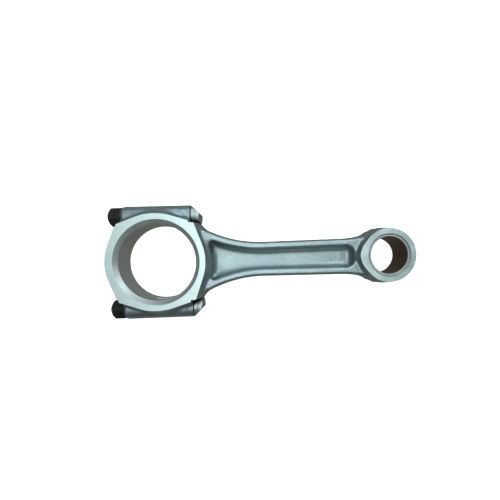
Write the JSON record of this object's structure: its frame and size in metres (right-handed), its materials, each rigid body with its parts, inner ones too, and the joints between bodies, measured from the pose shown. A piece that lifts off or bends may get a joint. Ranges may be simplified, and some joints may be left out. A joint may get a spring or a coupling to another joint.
{
  "type": "connecting rod",
  "caption": "Forged steel connecting rod with an I-section shank, a split big end with a bolted cap, and a small end with a bronze bush.",
  "frame": {"origin": "on the big-end bore axis, midway between the machined side faces", "axes": "+X from the big end to the small end, +Y across the two cap bolts, +Z along both bores towards one side face"},
  "size_m": [0.2178, 0.0794, 0.03],
  "materials": {
    "forged_steel": "shot-blasted forging with milled side faces and bored holes",
    "bronze": "dark oiled bronze, bored",
    "bolt_steel": "bare forged steel",
    "black_oxide": "black oxide, oiled"
  },
  "bodies": {
    "rod": {"rod_forging": "forged_steel", "small_end_bush": "bronze", "upper_bolt": "bolt_steel", "lower_bolt": "bolt_steel"},
    "cap": {"bearing_cap": "forged_steel"},
    "nut_up": {"upper_nut": "black_oxide"},
    "nut_low": {"lower_nut": "black_oxide"}
  },
  "joints": [
    {"name": "cap_slide", "type": "slide", "parent": "rod", "child": "cap", "axis": [-1, 0, 0], "range_m": [0, 0.036]},
    {"name": "upper_nut_turn", "type": "hinge", "parent": "cap", "child": "nut_up", "pos_m": [-0.0257, 0.0325, 0], "axis": [-1, 0, 0], "continuous": true},
    {"name": "lower_nut_turn", "type": "hinge", "parent": "cap", "child": "nut_low", "pos_m": [-0.0257, -0.0325, 0], "axis": [-1, 0, 0], "continuous": true}
  ]
}
